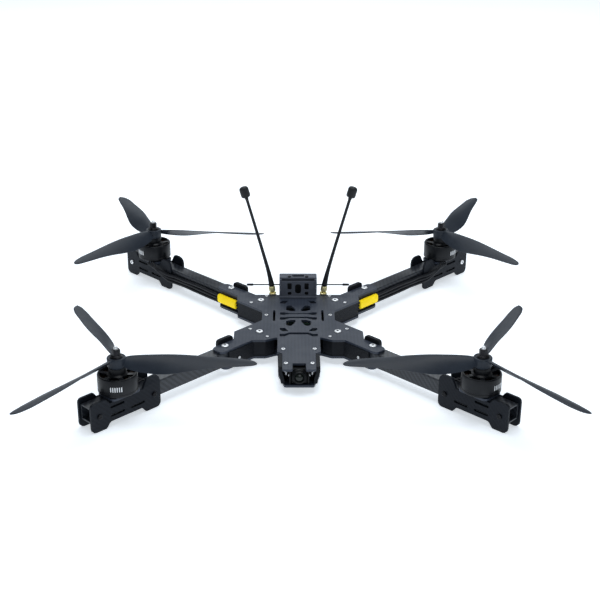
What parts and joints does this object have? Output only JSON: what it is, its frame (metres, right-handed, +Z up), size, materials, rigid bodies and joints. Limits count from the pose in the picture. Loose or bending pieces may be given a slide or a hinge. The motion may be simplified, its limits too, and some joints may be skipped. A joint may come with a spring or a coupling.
{
  "type": "fpv racing drone",
  "caption": "Large racing drone: an X of square carbon tubes bolted between flat plates, with a motor and propeller on each end, a tilting nose camera and whip antennas.",
  "frame": {"origin": "on the floor under the middle of the whole drone, propellers at rest included", "axes": "+X to the drone's right-hand side, +Y towards its tail (the nose faces -Y), +Z up"},
  "size_m": [0.6289, 0.7155, 0.1932],
  "materials": {
    "carbon_plate": "satin carbon fibre sheet",
    "carbon_tube": "satin twill carbon fibre tube",
    "black_plastic": "matt printed nylon",
    "propeller_plastic": "matt dark slate",
    "motor_metal": "black anodised",
    "steel_bolts": "bright",
    "gold_plating": "gold plated",
    "antenna_rubber": "matt",
    "lead_insulation": "satin silicone wire",
    "lens_glass": "dark glass in a black barrel",
    "circuit_board": "solder mask"
  },
  "bodies": {
    "airframe": {"top_plate": "carbon_plate", "bottom_plate": "carbon_plate", "arm_tube_front_left": "carbon_tube", "arm_socket_front_left": "black_plastic", "mount_cheek_waist_front_left": "carbon_plate", "mount_cheek_outer_front_left": "carbon_plate", "motor_plate_front_left": "carbon_plate", "arm_bolt_front_left": "steel_bolts", "motor_leads_front_left": "lead_insulation", "motor_stator_front_left": "motor_metal", "arm_tube_front_right": "carbon_tube", "arm_socket_front_right": "black_plastic", "mount_cheek_waist_front_right": "carbon_plate", "mount_cheek_outer_front_right": "carbon_plate", "motor_plate_front_right": "carbon_plate", "arm_bolt_front_right": "steel_bolts", "motor_leads_front_right": "lead_insulation", "motor_stator_front_right": "motor_metal", "arm_tube_rear_left": "carbon_tube", "arm_socket_rear_left": "black_plastic", "mount_cheek_waist_rear_left": "carbon_plate", "mount_cheek_outer_rear_left": "carbon_plate", "motor_plate_rear_left": "carbon_plate", "arm_bolt_rear_left": "steel_bolts", "motor_leads_rear_left": "lead_insulation", "motor_stator_rear_left": "motor_metal", "arm_tube_rear_right": "carbon_tube", "arm_socket_rear_right": "black_plastic", "mount_cheek_waist_rear_right": "carbon_plate", "mount_cheek_outer_rear_right": "carbon_plate", "motor_plate_rear_right": "carbon_plate", "arm_bolt_rear_right": "steel_bolts", "motor_leads_rear_right": "lead_insulation", "motor_stator_rear_right": "motor_metal", "nose_cheek_left": "black_plastic", "sma_connector_left": "gold_plating", "antenna_left": "antenna_rubber", "nose_cheek_right": "black_plastic", "sma_connector_right": "gold_plating", "antenna_right": "antenna_rubber", "camera_bracket": "black_plastic", "rear_bracket": "black_plastic", "t_antenna": "antenna_rubber", "flight_controller": "circuit_board", "esc_board": "circuit_board", "video_transmitter": "circuit_board"},
    "rotor_front_left": {"motor_bell_front_left": "motor_metal", "propeller_front_left": "propeller_plastic", "propeller_nut_front_left": "motor_metal"},
    "rotor_front_right": {"motor_bell_front_right": "motor_metal", "propeller_front_right": "propeller_plastic", "propeller_nut_front_right": "motor_metal"},
    "rotor_rear_left": {"motor_bell_rear_left": "motor_metal", "propeller_rear_left": "propeller_plastic", "propeller_nut_rear_left": "motor_metal"},
    "rotor_rear_right": {"motor_bell_rear_right": "motor_metal", "propeller_rear_right": "propeller_plastic", "propeller_nut_rear_right": "motor_metal"},
    "camera": {"camera_case": "black_plastic", "camera_lens": "lens_glass"}
  },
  "joints": [
    {"name": "spin_front_left", "type": "hinge", "parent": "airframe", "child": "rotor_front_left", "pos_m": [-0.215, -0.222, 0.0753], "axis": [0, 0, 1], "continuous": true},
    {"name": "spin_front_right", "type": "hinge", "parent": "airframe", "child": "rotor_front_right", "pos_m": [0.215, -0.222, 0.0753], "axis": [0, 0, 1], "continuous": true},
    {"name": "spin_rear_left", "type": "hinge", "parent": "airframe", "child": "rotor_rear_left", "pos_m": [-0.215, 0.208, 0.0753], "axis": [0, 0, 1], "continuous": true},
    {"name": "spin_rear_right", "type": "hinge", "parent": "airframe", "child": "rotor_rear_right", "pos_m": [0.215, 0.208, 0.0753], "axis": [0, 0, 1], "continuous": true},
    {"name": "camera_tilt", "type": "hinge", "parent": "airframe", "child": "camera", "pos_m": [0, -0.155, 0.021], "axis": [-1, 0, 0], "range_deg": [-12, 25]}
  ]
}
